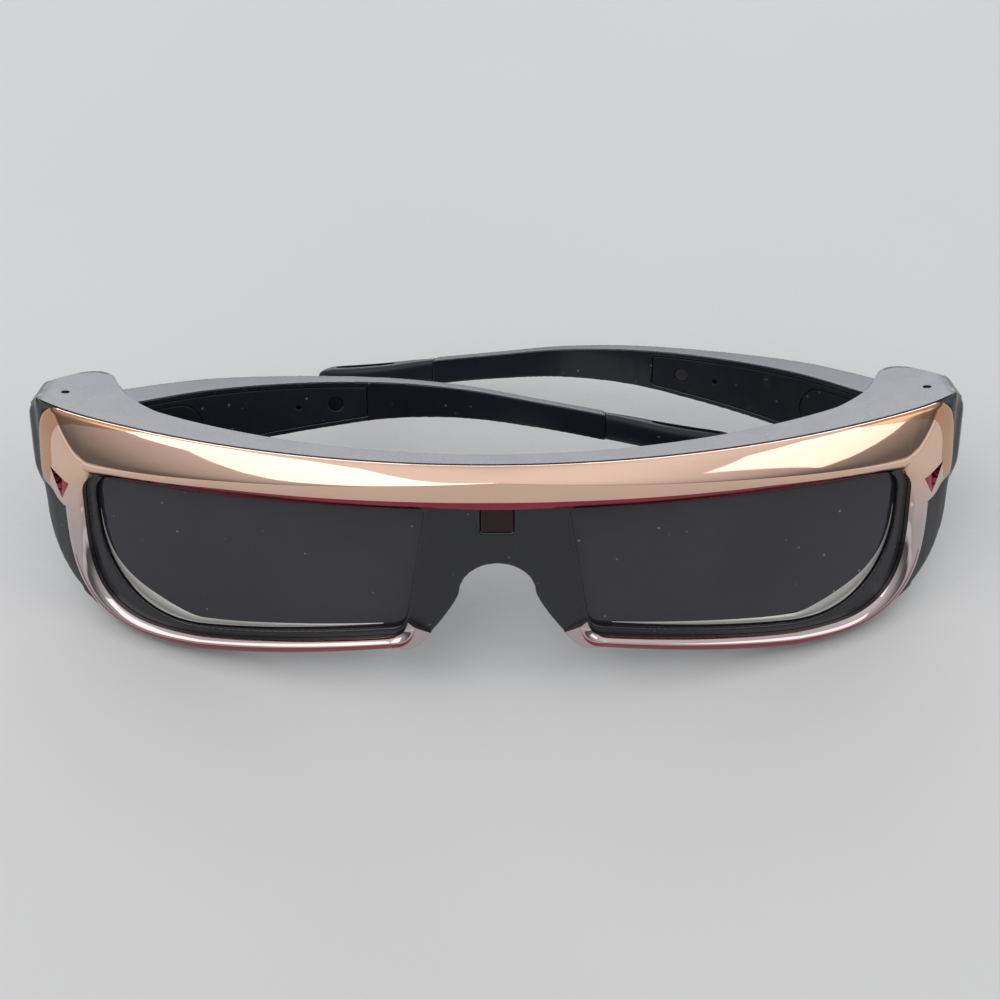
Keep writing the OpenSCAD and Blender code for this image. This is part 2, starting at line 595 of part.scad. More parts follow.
// Electronics: a cell in the right temple, a board with its port and button in the left one
cell_t = 1.9;
cell_u = [20, 38];
module cell() arm_slice(cell_u[0], cell_u[1], inner_t + fit, inner_t + fit + cell_t, cover_rim + 1.4);
board_t = 0.6;
board_u = [13, 39];
board_v = inner_t + fit;
module board() arm_slice(board_u[0], board_u[1], board_v, board_v + board_t, cover_rim + 1.1);
port_u = 16.5;
port_w = 5.4;
port_t = 2.4;
port_h = 5;
port_wall = 0.3;
port_v = v_in(port_u + port_w / 2) + board_v + board_t + 0.8;
port_z = z_low(port_u) + 0.5;
module port_block(gap, below = 0) translate([port_u - port_w / 2 - gap, port_v - gap, port_z - below - gap])
    cube([port_w + 2 * gap, port_t + 2 * gap, port_h + below + 2 * gap]);
module port() difference() {
    port_block(0);
    translate([port_u - port_w / 2 + port_wall, port_v + port_wall, port_z - 1])
        cube([port_w - 2 * port_wall, port_t - 2 * port_wall, port_h]);
}
button_u = 27;
button_d = 2.4;
button_flange_d = 3;
button_flange_t = 0.6;
button_proud = 0.6;
button_play = 0.12;
button_v = v_in(button_u) + board_v + board_t + 0.2 + button_flange_d / 2;
button_seat = z_low(button_u) + cover_rim + 0.8 + 0.25;
module button_bore()
    translate([button_u, button_v, 0]) cylinder(d = button_d + 2 * button_play, h = button_seat + 1);
module button() translate([button_u, button_v, 0]) {
    translate([0, 0, z_low(button_u) - button_proud])
        cylinder(d = button_d, h = button_seat - z_low(button_u) + button_proud + button_flange_t);
    translate([0, 0, button_seat]) cylinder(d = button_flange_d, h = button_flange_t);
}

// Temples folded on their hinges
module left_arm() at_rest() translate([hinge_x, axis_y, 0]) rotate(-fold_left) mirror([1, 0, 0]) children();
module right_arm() at_rest() translate([-hinge_x, axis_y, 0]) rotate(fold_right) children();

// Lean of the folded glasses on a table: they lie on the rims and on the left ear tip
function left_y(u, v) = axis_y + u * sin(fold_left) + v * cos(fold_left);
rim_feet = [for (p = edge_corner)
    if (p[1] < cheek_z) [face_y(p[0]) + pad_y, p[1]]];
tip_feet = [for (u = u_range(tip_u, arm_len)) [left_y(u, v_out(u)), z_low(u)]];
lean = min([for (t = tip_feet) max([for (r = rim_feet) atan2(t[1] - r[1], t[0] - r[0])])]);
function lean_y(y, z) = y * cos(lean) + z * sin(lean);
function lean_z(y, z) = z * cos(lean) - y * sin(lean);
low_z = min([for (r = rim_feet) lean_z(r[0], r[1])]);
back_y = max([for (u = u_range(arm_heel, arm_len)) lean_y(left_y(u, v_out(u)), z_top(u))]);
front_y = min([for (r = bezel_rings) for (p = r) lean_y(p[1], p[2])]);
mid_y = (front_y + back_y) / 2;
module at_rest() translate([0, -mid_y, -low_z]) rotate([-lean, 0, 0]) children();
echo(lean = lean, low_z = low_z, mid_y = mid_y, hinge = [hinge_x, axis_y], arm_z = [slot_z0, slot_z1]);

module hinge_pin() translate([hinge_x, axis_y, pin_z0]) cylinder(d = pin_d, h = pin_top - pin_z0);
module left_hinge_pin() color([0.6, 0.6, 0.62]) at_rest() hinge_pin();
module right_hinge_pin() color([0.6, 0.6, 0.62]) at_rest() mirror([1, 0, 0]) hinge_pin();
module left_temple() color([0.1, 0.1, 0.11]) left_arm() temple_shell(true);
module right_temple() color([0.1, 0.1, 0.11]) right_arm() temple_shell();
module left_temple_cover() color([0.14, 0.14, 0.15]) left_arm() temple_cover();
module right_temple_cover() color([0.14, 0.14, 0.15]) right_arm() temple_cover();
module left_inner_cap() color([0.08, 0.08, 0.09]) left_arm() inner_cap();
module right_inner_cap() color([0.08, 0.08, 0.09]) right_arm() inner_cap();
module left_temple_screw() color([0.3, 0.3, 0.32]) left_arm() temple_screw();
module right_temple_screw() color([0.3, 0.3, 0.32]) right_arm() temple_screw();
module left_ear_tip() color([0.09, 0.09, 0.1]) left_arm() ear_tip();
module right_ear_tip() color([0.09, 0.09, 0.1]) right_arm() ear_tip();
module battery_cell() color([0.7, 0.7, 0.72]) right_arm() cell();
module circuit_board() color([0.05, 0.3, 0.15]) left_arm() board();
module charging_port() color([0.7, 0.7, 0.7]) left_arm() port();
module power_button() color([0.2, 0.2, 0.22]) left_arm() button();

front_housing();
rear_cover();
front_bezel();
left_lens();
right_lens();
ir_window();
ir_receiver();
flex_circuit();
cover_screws();
nose_pad();
left_hinge_pin();
right_hinge_pin();
left_temple();
right_temple();
left_temple_cover();
right_temple_cover();
left_inner_cap();
right_inner_cap();
left_temple_screw();
right_temple_screw();
left_ear_tip();
right_ear_tip();
battery_cell();
circuit_board();
charging_port();
power_button();
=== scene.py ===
"""Folded shutter glasses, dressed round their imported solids. Sizes in the helpers are in millimetres."""
import json
import math
from collections import namedtuple

import bmesh
import bpy
from mathutils import Matrix, Vector


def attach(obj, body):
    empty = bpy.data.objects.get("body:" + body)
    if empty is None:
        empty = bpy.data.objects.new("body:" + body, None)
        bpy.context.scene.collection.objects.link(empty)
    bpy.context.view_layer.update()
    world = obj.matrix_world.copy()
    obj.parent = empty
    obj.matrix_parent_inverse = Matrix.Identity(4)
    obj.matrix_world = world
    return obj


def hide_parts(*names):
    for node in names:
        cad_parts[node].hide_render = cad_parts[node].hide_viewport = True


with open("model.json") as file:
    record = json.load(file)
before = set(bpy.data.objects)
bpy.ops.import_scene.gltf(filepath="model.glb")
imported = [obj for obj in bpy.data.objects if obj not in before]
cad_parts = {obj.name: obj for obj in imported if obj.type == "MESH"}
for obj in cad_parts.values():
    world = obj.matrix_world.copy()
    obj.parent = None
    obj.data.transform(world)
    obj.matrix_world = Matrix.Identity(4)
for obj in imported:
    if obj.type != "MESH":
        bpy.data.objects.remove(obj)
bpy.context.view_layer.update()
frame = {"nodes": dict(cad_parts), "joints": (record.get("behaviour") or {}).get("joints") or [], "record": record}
nodes = frame["nodes"]
body_of = {n: b for b, members in frame["record"]["behaviour"]["bodies"].items() for n in members}
slot_of = {s["node"]: s["material_slot"] for s in frame["record"]["subparts"]}
scene = bpy.context.scene

# Sizes of the front that the solids are drawn from
HALF = 84.0
RIM_H, LENS_H, BROW_H, BROW_RISE = 2.9, 29.0, 7.9, 3.3
WRAP_R, END_SWEEP, END_SWEEP_LEN = 161.5, 1.7, 14.0
BROW_DEPTH, BROW_REAR_R = 4.8, 120.0
LENS_W, LENS_RISE, BRIDGE_W, LENS_LEAN = 62.0, -0.4, 25.2, 3.3
SWEEP_W, SWEEP_H, LEDGE_SIDE, LEDGE_LOW = 20.2, 21.0, 2.0, 1.3
LIP_T, LENS_T, LENS_LAP, FIT = 1.2, 1.5, 1.2, 0.1
RIM_SLOPE, RIM_POWER, SIDE_BAR = 3.9, 1.2, 4.3
BROW_RIDGE, RIM_RIDGE, BEZEL_EDGE, LIP_H = 3.38, 2.1, 0.8, 1.3
TOP_IN_R, TOP_OUT_R, LOW_IN_R = 1.5, 4.0, 3.0
LENS_POWER, BEZEL_POWER, RIM_CORNER_POWER = 2.2, 3.2, 3.0
HINGE_X, HINGE_DEPTH, HINGE_Z = 79.0, 7.6, 33.0
FOLD = {"left": math.radians(22), "right": math.radians(3.5)}

LENS_IN = BRIDGE_W / 2
LENS_OUT = LENS_IN + LENS_W
LENS_TOP = RIM_H + LENS_H
BROW_MID = LENS_TOP + BROW_H
SWEEP_C = (LENS_OUT - SWEEP_W, RIM_H + SWEEP_H)
TOP_IN_C = (LENS_IN + TOP_IN_R, LENS_TOP - TOP_IN_R)
TOP_OUT_C = (LENS_OUT - TOP_OUT_R, LENS_TOP + LENS_RISE - TOP_OUT_R)
LOW_IN_C = (LENS_IN + LENS_LEAN + LOW_IN_R, RIM_H + RIM_SLOPE + LOW_IN_R)
RIM_EDGE, WING_INSET, WING_RUN = 0.4, 0.8, 7.2
RIM_OUT = RIM_H - RIM_EDGE
WING_X = HALF - WING_INSET
WING_END = WING_X - WING_RUN
SLOPE_STEP = 0.05
SWEEP_POINTS, RUN_POINTS = 14, 6
TOP_IN_POINTS, TOP_OUT_POINTS, LOW_IN_POINTS = 4, 6, 5


def face_y(x):
    extra = max(abs(x) - HALF + END_SWEEP_LEN, 0) / END_SWEEP_LEN
    return WRAP_R - math.sqrt(WRAP_R ** 2 - x * x) + END_SWEEP * extra ** 3


def rear_y(x):
    return BROW_DEPTH + BROW_REAR_R - math.sqrt(BROW_REAR_R ** 2 - x * x)


def face_angle(x):
    return math.atan2(face_y(x + SLOPE_STEP) - face_y(x - SLOPE_STEP), 2 * SLOPE_STEP)


# The lean of the folded glasses, read back from the left hinge
HINGE_Y = face_y(HINGE_X) + HINGE_DEPTH
joint = next(j for j in frame["joints"] if j["name"] == "left_hinge")
LEAN_S, LEAN_C = -joint["axis"][1], -joint["axis"][2]
MID_Y = HINGE_Y * LEAN_C + HINGE_Z * LEAN_S - joint["pos_m"][1] * 1000
LOW_Z = HINGE_Z * LEAN_C - HINGE_Y * LEAN_S - joint["pos_m"][2] * 1000


def turn(v):
    """Upright direction to the frame's direction."""
    return Vector((v[0], v[1] * LEAN_C + v[2] * LEAN_S, v[2] * LEAN_C - v[1] * LEAN_S))


def rest(p):
    """Upright millimetres to the frame's metres."""
    return (turn(p) - Vector((0, MID_Y, LOW_Z))) / 1000


def rest_matrix():
    rows = [[turn(axis)[k] for axis in ((1, 0, 0), (0, 1, 0), (0, 0, 1))] for k in range(3)]
    return Matrix.Scale(0.001, 4) @ Matrix.Translation((0, -MID_Y, -LOW_Z)) @ Matrix(rows).to_4x4()


def arm_matrix(side):
    """Temple's own plan, along u and out along v, to the upright front."""
    place = Matrix.Translation((HINGE_X if side == "left" else -HINGE_X, HINGE_Y, 0))
    if side == "left":
        return place @ Matrix.Rotation(-FOLD[side], 4, "Z") @ Matrix.Scale(-1, 4, (1, 0, 0))
    return place @ Matrix.Rotation(FOLD[side], 4, "Z")


def brow_z(x):
    return BROW_MID + BROW_RISE * (x / HALF) ** 2


def brow_low_z(x):
    return LENS_TOP + LENS_RISE * max(abs(x) - LENS_IN, 0) / LENS_W


def rim_low(x):
    s = (SWEEP_C[0] - x) / (SWEEP_C[0] - LOW_IN_C[0])
    return RIM_SLOPE * min(max(s, 0), 1) ** RIM_POWER


def between(p, q, t):
    return (p[0] + (q[0] - p[0]) * t, p[1] + (q[1] - p[1]) * t)


def arc(c, r, a0, a1, n):
    out = []
    for i in range(n + 1):
        a = math.radians(a0 + (a1 - a0) * i / n)
        out.append((c[0] + r * math.cos(a), c[1] + r * math.sin(a)))
    return out


def corner(rx, rz, power, degrees):
    """Point on a squared lower outer corner, from 0 at its side to 90 at its bottom."""
    a = math.radians(degrees)
    return (SWEEP_C[0] + rx * max(math.cos(a), 0) ** (2 / power),
            SWEEP_C[1] - rz * max(math.sin(a), 0) ** (2 / power))


def along(table, x):
    """Smooth interpolation in rows of (position, value)."""
    i = 0
    while i < len(table) - 2 and x > table[i + 1][0]:
        i += 1

    def slope(k):
        a, b = max(k - 1, 0), min(k + 1, len(table) - 1)
        return (table[b][1] - table[a][1]) / (table[b][0] - table[a][0])
    h = table[i + 1][0] - table[i][0]
    s = (x - table[i][0]) / h
    return (table[i][1] * (1 + 2 * s) * (1 - s) ** 2 + h * slope(i) * s * (1 - s) ** 2
            + table[i + 1][1] * s * s * (3 - 2 * s) + h * slope(i + 1) * s * s * (s - 1))


def lens_low(m, n):
    """Lower outer corner and bottom edge of a lens opening, moved outward by m, with n times the points."""
    count = SWEEP_POINTS * n
    side = [corner(SWEEP_W - LEDGE_SIDE + m, SWEEP_H - LEDGE_LOW + m, LENS_POWER, 90 * i / count)
            for i in range(count + 1)]
    run, steps = SWEEP_C[0] - LOW_IN_C[0], RUN_POINTS * n
    xs = [SWEEP_C[0] - run * i / steps for i in range(1, steps)]
    return side + [(x, RIM_H + LEDGE_LOW + rim_low(x) - m) for x in xs]


def lens_outline(m, n):
    return (arc(TOP_IN_C, TOP_IN_R + m, 180, 90, TOP_IN_POINTS * n)
            + arc((TOP_OUT_C[0] - LEDGE_SIDE, TOP_OUT_C[1]), TOP_OUT_R + m, 90, 0, TOP_OUT_POINTS * n)
            + lens_low(m, n)
            + arc((LOW_IN_C[0], LOW_IN_C[1] + LEDGE_LOW), LOW_IN_R + m, -90, -180, LOW_IN_POINTS * n))


def resample(points, step):
    """Closed outline with points at an even spacing."""
    out = []
    for a, b in zip(points, points[1:] + points[:1]):
        k = max(1, round(math.dist(a, b) / step))
        out += [(a[0] + (b[0] - a[0]) * i / k, a[1] + (b[1] - a[1]) * i / k) for i in range(k)]
    return out


# Mesh helpers
SHARP, BEZEL_SHARP = 40, 24
WELD = 1e-7
RELAX, NORMAL_WEIGHT = 0.5, 60


def new_object(name, mesh, body, slot, *replaced):
    obj = bpy.data.objects.new(name, mesh)
    scene.collection.objects.link(obj)
    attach(obj, body)
    if replaced:
        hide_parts(*replaced)
    return obj


def draft(verts, faces):
    mesh = bpy.data.meshes.new("draft")
    mesh.from_pydata([tuple(v) for v in verts], [], faces)
    bm = bmesh.new()
    bm.from_mesh(mesh)
    bpy.data.meshes.remove(mesh)
    return bm


def finish_mesh(name, bm, sharp=SHARP):
    mesh = bpy.data.meshes.new(name)
    bmesh.ops.remove_doubles(bm, verts=bm.verts, dist=WELD)
    bmesh.ops.dissolve_degenerate(bm, edges=bm.edges, dist=WELD)
    bmesh.ops.recalc_face_normals(bm, faces=bm.faces)
    bm.to_mesh(mesh)
    bm.free()
    mesh.shade_smooth()
    mesh.set_sharp_from_angle(angle=math.radians(sharp))
    return mesh


def mesh_from(name, verts, faces):
    return finish_mesh(name, draft(verts, faces))


def loft(rings):
    """Vertices and faces of a closed skin over closed rings of equal length."""
    n, count = len(rings[0]), len(rings)
    faces = []
    for j in range(count - 1):
        a, b = j * n, (j + 1) * n
        for i in range(n):
            k = (i + 1) % n
            faces.append((a + i, a + k, b + k, b + i))
    faces.append(tuple(reversed(range(n))))
    faces.append(tuple(range((count - 1) * n, count * n)))
    return [p for r in rings for p in r], faces


def settled(obj):
    """Mesh of an object with its modifiers worked in."""
    bpy.context.view_layer.update()
    made = bpy.data.meshes.new_from_object(obj.evaluated_get(bpy.context.evaluated_depsgraph_get()))
    obj.modifiers.clear()
    obj.data = made
    return made


def rounded(node, voxel, passes, share):
    """Copy of a solid with softened edges: remeshed in millimetres, relaxed and thinned out."""
    mesh = nodes[node].data.copy()
    mesh.materials.clear()
    bm = bmesh.new()
    bm.from_mesh(mesh)
    bmesh.ops.scale(bm, vec=(1000,) * 3, verts=bm.verts)
    bmesh.ops.remove_doubles(bm, verts=bm.verts, dist=WELD * 1000)
    bm.to_mesh(mesh)
    bm.free()
    obj = new_object(node + "_moulded", mesh, body_of[node], slot_of[node], node)
    step = obj.modifiers.new("remesh", "REMESH")
    step.mode = "VOXEL"
    step.voxel_size = voxel
    step = obj.modifiers.new("relax", "CORRECTIVE_SMOOTH")
    step.smooth_type = "LENGTH_WEIGHTED"
    step.use_only_smooth = True
    step.iterations = passes
    step.factor = RELAX
    step = obj.modifiers.new("thin", "DECIMATE")
    step.ratio = share
    made = settled(obj)
    made.transform(Matrix.Scale(0.001, 4))
    made.shade_smooth()
    made.name = obj.name
    step = obj.modifiers.new("normals", "WEIGHTED_NORMAL")
    step.weight = NORMAL_WEIGHT
    return obj


def soften(mesh, from_x, passes):
    """Smooth the sides of the end pieces, beyond a distance from the middle."""
    bm = bmesh.new()
    bm.from_mesh(mesh)
    side = [v for v in bm.verts if abs(v.co.x) > from_x]
    for _ in range(passes):
        bmesh.ops.smooth_vert(bm, verts=side, factor=RELAX, use_axis_x=True, use_axis_y=True, use_axis_z=True)
    bm.to_mesh(mesh)
    bm.free()


# Materials
WORN = (0.035, 0.035, 0.04)
WORN_EDGES, WORN_SHARE = (0.53, 0.64), 0.6
DUST, DUST_SCALE, DUST_SIZE = (0.42, 0.41, 0.40), 420, 0.12
DUST_CORE, DUST_PICK = 0.4, (0.6, 0.95)
COAT_ROUGH = 0.12
GLOSS_FINER = 2.3
BRUSHED, BRUSH_COARSER, BRUSH_SHARE = (1, 0.08, 1), 3, 0.25


def ramp(tree, source, low, high, at=(0.3, 0.7)):
    node = tree.nodes.new("ShaderNodeMapRange")
    node.inputs["From Min"].default_value, node.inputs["From Max"].default_value = at
    node.inputs["To Min"].default_value, node.inputs["To Max"].default_value = low, high
    tree.links.new(source, node.inputs["Value"])
    return node.outputs["Result"]


def placed(tree, stretch=(1, 1, 1)):
    coord = tree.nodes.new("ShaderNodeTexCoord")
    place = tree.nodes.new("ShaderNodeMapping")
    place.inputs["Scale"].default_value = stretch
    tree.links.new(coord.outputs["Object"], place.inputs["Vector"])
    return place.outputs["Vector"]


def noise(tree, scale, detail, stretch=(1, 1, 1)):
    tex = tree.nodes.new("ShaderNodeTexNoise")
    tex.inputs["Scale"].default_value = scale
    tex.inputs["Detail"].default_value = detail
    tree.links.new(placed(tree, stretch), tex.inputs["Vector"])
    return tex.outputs["Fac"]


def product(tree, a, b):
    node = tree.nodes.new("ShaderNodeMath")
    node.operation = "MULTIPLY"
    tree.links.new(a, node.inputs[0])
    tree.links.new(b, node.inputs[1])
    return node.outputs[0]


def specks(tree, amount):
    """Sparse dust: small dots in some of the cells of a cell pattern."""
    tex = tree.nodes.new("ShaderNodeTexVoronoi")
    tex.inputs["Scale"].default_value = DUST_SCALE
    tree.links.new(placed(tree), tex.inputs["Vector"])
    dot = ramp(tree, tex.outputs["Distance"], amount, 0, (DUST_SIZE * DUST_CORE, DUST_SIZE))
    pick = tree.nodes.new("ShaderNodeSeparateColor")
    tree.links.new(tex.outputs["Color"], pick.inputs["Color"])
    return product(tree, dot, ramp(tree, pick.outputs["Red"], 0, 1, DUST_PICK))


def mixed(tree, a, b, factor):
    """Colour between a and b, each a constant or a socket."""
    mix = tree.nodes.new("ShaderNodeMix")
    mix.data_type = "RGBA"
    for key, value in (("A", a), ("B", b)):
        if isinstance(value, tuple):
            mix.inputs[key].default_value = (*value, 1)
        else:
            tree.links.new(value, mix.inputs[key])
    tree.links.new(factor, mix.inputs["Factor"])
    return mix.outputs["Result"]


def bump(tree, height, distance, below=None):
    node = tree.nodes.new("ShaderNodeBump")
    node.inputs["Distance"].default_value = distance
    tree.links.new(height, node.inputs["Height"])
    if below is not None:
        tree.links.new(below, node.inputs["Normal"])
    return node.outputs["Normal"]


def material(name, colour, colour2, rough, grain=None, metallic=0.0, patch=90.0, spec=0.5, coat=0.0,
             dust=0.0, wear=None, low=None):
    """Surface with cloudy colour and gloss. grain is (scale per metre, depth in metres), dust is the share
    of pale specks, wear is the colour of rubbed edges and low is (colour, heights) of a tint lower down, a painted
    reflection."""
    mat = bpy.data.materials.new(name)
    mat.use_nodes = True
    tree = mat.node_tree
    shader = tree.nodes["Principled BSDF"]
    shader.inputs["Metallic"].default_value = metallic
    shader.inputs["Specular IOR Level"].default_value = spec
    shader.inputs["Coat Weight"].default_value = coat
    shader.inputs["Coat Roughness"].default_value = COAT_ROUGH
    tint = mixed(tree, colour, colour2, ramp(tree, noise(tree, patch, 4), 0, 1))
    if low:
        split = tree.nodes.new("ShaderNodeSeparateXYZ")
        tree.links.new(placed(tree), split.inputs["Vector"])
        tint = mixed(tree, low[0], tint, ramp(tree, split.outputs["Z"], 0, 1, low[1]))
    if wear:
        edge = tree.nodes.new("ShaderNodeNewGeometry")
        tint = mixed(tree, tint, wear, ramp(tree, edge.outputs["Pointiness"], 0, WORN_SHARE, WORN_EDGES))
    gloss = ramp(tree, noise(tree, patch * GLOSS_FINER, 5), *rough)
    if dust:
        tint = mixed(tree, tint, DUST, specks(tree, dust))
    tree.links.new(tint, shader.inputs["Base Color"])
    tree.links.new(gloss, shader.inputs["Roughness"])
    if grain:
        relief = bump(tree, noise(tree, grain[0], 2), grain[1])
        relief = bump(tree, noise(tree, grain[0] / BRUSH_COARSER, 2, BRUSHED), grain[1] * BRUSH_SHARE, relief)
        tree.links.new(relief, shader.inputs["Normal"])
    return mat


MATS = {
    "frame_plastic": material(
        "gloss_black", (0.0075, 0.008, 0.011), (0.010, 0.0105, 0.0145), (0.25, 0.29),
        grain=(2600, 4e-6), spec=0.45, coat=0.25, dust=0.3, wear=WORN),
    "temple_plastic": material(
        "temple_black", (0.0075, 0.0085, 0.0135), (0.010, 0.0115, 0.0175), (0.27, 0.32),
        grain=(2600, 5e-6), spec=0.45, coat=0.25, dust=0.4, wear=WORN),
    "inner_plastic": material(
        "inner_black", (0.007, 0.008, 0.0125), (0.010, 0.0115, 0.0175), (0.42, 0.54),
        grain=(3400, 2e-5), patch=120.0, spec=0.3, dust=0.6, wear=WORN),
    "cap_plastic": material(
        "cap_black", (0.006, 0.0068, 0.010), (0.009, 0.010, 0.0145), (0.34, 0.44),
        grain=(3000, 1.5e-5), patch=120.0, spec=0.35, dust=0.5, wear=WORN),
    "soft_rubber": material(
        "soft_black", (0.0075, 0.0085, 0.0135), (0.010, 0.0115, 0.0175), (0.34, 0.44),
        grain=(3000, 2e-5), patch=110.0, spec=0.4, dust=0.5),
    "bezel_chrome": material(
        "rose_mirror", (0.83, 0.565, 0.43), (0.86, 0.59, 0.455), (0.03, 0.075),
        grain=(420, 1.4e-6), metallic=1.0, patch=60.0, dust=0.25,
        # painted reflection: the lower rims turn grey-pink, standing in for grey surroundings mirrored there
        low=((0.52, 0.45, 0.45), (0.018, 0.030))),
    # painted reflection: a dark red mirror colour that stands in for a red thing reflected in the bezel
    "painted_red_reflection": material(
        "painted_red_reflection_mirror", (0.30, 0.045, 0.065), (0.36, 0.055, 0.08), (0.06, 0.12),
        grain=(420, 1.6e-6), metallic=1.0),
    # painted reflection: a darker copper mirror colour that stands in for dark surroundings reflected on the wings
    "cheek": material(
        "painted_copper_reflection_mirror", (0.56, 0.315, 0.185), (0.61, 0.345, 0.205), (0.10, 0.18),
        grain=(420, 1.6e-6), metallic=1.0, patch=60.0, dust=0.25),
    "lens_glass": material(
        "shutter_glass", (0.020, 0.0185, 0.027), (0.029, 0.027, 0.037), (0.04, 0.10), patch=45.0, dust=0.55),
    "window_plastic": material(
        "dark_red", (0.012, 0.0015, 0.003), (0.018, 0.002, 0.004), (0.08, 0.14), patch=200.0, spec=0.35),
    "electronics": material(
        "board_green", (0.02, 0.10, 0.05), (0.03, 0.14, 0.07), (0.3, 0.45), grain=(900, 3e-5)),
    "flex_film": material("amber_film", (0.45, 0.22, 0.04), (0.52, 0.27, 0.06), (0.3, 0.4)),
    "steel": material(
        "turned_steel", (0.46, 0.46, 0.48), (0.56, 0.56, 0.58), (0.22, 0.36),
        grain=(1500, 1e-5), metallic=1.0),
    "dark_steel": material(
        "dark_steel", (0.07, 0.07, 0.08), (0.10, 0.10, 0.11), (0.3, 0.42), grain=(1500, 1e-5), metallic=1.0),
    "cell_foil": material(
        "foil", (0.60, 0.60, 0.62), (0.68, 0.68, 0.70), (0.3, 0.45), grain=(500, 6e-5), metallic=1.0),
    "ledge": material("pale_ledge", (0.44, 0.43, 0.40), (0.52, 0.50, 0.46), (0.16, 0.26), metallic=0.7),
}


def dress(obj, *names):
    """Give an object these materials. Clearing an empty list would reset the faces' materials."""
    if len(obj.data.materials):
        obj.data.materials.clear()
    for name in names:
        obj.data.materials.append(MATS[name])


# Bezel: the solid's stations drawn finer, with a rolled lip, painted reflections in dark red bands and painted
# reflections in darker copper on its wings
Station = namedtuple("Station", "inner outer ridge height lip band kind")
BARE, RIM, WING, BROW = range(4)
CHROME_FACE, PAINTED_RED_REFLECTION_FACE, PAINTED_COPPER_REFLECTION_FACE = range(3)
NOSE_N, RIM_N, CORNER_N, WING_N, BROW_N = 36, 36, 72, 96, 84
BEZEL_ROWS = (7, 9, 5, 6, 14)
SWEEP_Z = SWEEP_C[1]
wing_line = [(0, LENS_OUT + SIDE_BAR), (0.1, WING_X - 3.2), (0.22, WING_X - 1.7), (0.34, WING_X),
             (0.62, WING_X), (0.8, WING_X - 0.9), (0.9, WING_X - 3.4), (1, WING_END)]
wing_rise = [(0, SWEEP_Z), (0.1, SWEEP_Z + 0.4), (0.22, SWEEP_Z + 2.5), (0.34, SWEEP_Z + 4.2),
             (0.62, SWEEP_Z + 10.5), (0.8, brow_z(WING_X) - 3.2), (0.9, brow_z(WING_X - 3.4) - 0.3),
             (1, brow_z(WING_END))]
WING_BEND = 0.25
WING_STAR = 0.34
RIM_CREST, SIDE_CREST, STAR_DROP, WING_DROP = 0.32, 0.5, 0.24, 0.04
BROW_CREST, BROW_DROP = 0.75, 0.53
RIM_LIP, BROW_LIP, LIP_SHARE = 0.2, 0.22, 0.55
BAND_FROM, BAND_TO, BAND_SIDE, BAND_MIN = 0.12, 0.88, 0.3, 0.01
STRIPE_END = 0.85
RIDGE_POWER = 1.3
LIP_ROLL = 0.22
EDGE_ROLL, EDGE_ROLL_FROM = 0.25, 0.94
BACK_GAP, BACK_EDGE, BACK_EDGE_AT = 0.12, 0.4, 0.93
NOSE_DROP = 0.3
NOSE_IN_TURN, NOSE_OUT_TURN = (-185, 95), (-164, 74)
NOSE_OUT = [(0, 7.45), (0.2, 6.95), (0.45, 6.7), (0.7, 6.1), (0.85, 5.7), (1, LOW_IN_R + RIM_OUT)]
# widths of the painted copper reflection along the wing
COPPER_REFLECTION_W = [(0, 0.2), (0.14, 0.35), (0.26, 1.6), (0.4, 3.0), (0.6, 4.0), (0.8, 4.2), (0.92, 3.0), (1, 1.8)]
COPPER_REFLECTION_TAIL, COPPER_REFLECTION_MIN = 0.2, 0.1
SPUR = [(79.3, 25.8), (77.3, 29.5), (81.2, 31.6)]
SPUR_SLOPE, SPUR_FLOOR, SPUR_LEAST, SPUR_INSIDE = 0.3, 0.5, 0.1, 1e-3
CUT_X, CUT_Z, CUT_SNAP = (69, 85), (24, 40), 1e-4


def wing_in(t):
    a = math.radians(90 * max(t - WING_BEND, 0) / (1 - WING_BEND))
    return (TOP_OUT_C[0] + TOP_OUT_R * math.cos(a),
            SWEEP_Z + (TOP_OUT_C[1] - SWEEP_Z) * min(t / WING_BEND, 1) + TOP_OUT_R * math.sin(a))


def band(ridge, share):
    """Start and end of a band of painted red reflection that takes this share of the way from the ridge to the
    outer edge.
    """
    return tuple(ridge + (1 - ridge) * k for k in (BAND_FROM, share))


def round_nose(radius, degrees):
    a = math.radians(degrees)
    return (LOW_IN_C[0] + radius * math.cos(a), LOW_IN_C[1] + radius * math.sin(a))


def nose_station(s):
    share = BAND_FROM + BAND_MIN + (BAND_TO - BAND_FROM - BAND_MIN) * s * s
    return Station(round_nose(LOW_IN_R, NOSE_IN_TURN[0] + NOSE_IN_TURN[1] * s),
                   round_nose(along(NOSE_OUT, s), NOSE_OUT_TURN[0] + NOSE_OUT_TURN[1] * s),
                   RIM_CREST, RIM_RIDGE - NOSE_DROP * math.sqrt(1 - s), RIM_LIP, band(RIM_CREST, share), RIM)


def rim_station(s):
    x = LOW_IN_C[0] + (SWEEP_C[0] - LOW_IN_C[0]) * s
    low = rim_low(x)
    return Station((x, RIM_H + low), (x, low + (RIM_H - RIM_OUT) * (1 - s)),
                   RIM_CREST, RIM_RIDGE, RIM_LIP, band(RIM_CREST, BAND_TO), RIM)


def corner_station(s):
    crest = RIM_CREST + (SIDE_CREST - RIM_CREST) * s
    share = BAND_TO + (BAND_SIDE - BAND_TO) * min(s / STRIPE_END, 1)
    return Station(corner(SWEEP_W, SWEEP_H, BEZEL_POWER, 90 * (1 - s)),
                   corner(SWEEP_W + SIDE_BAR, SWEEP_H + RIM_H, RIM_CORNER_POWER, 90 * (1 - s)),
                   crest, RIM_RIDGE, RIM_LIP, band(crest, share), RIM if s < STRIPE_END else BARE)


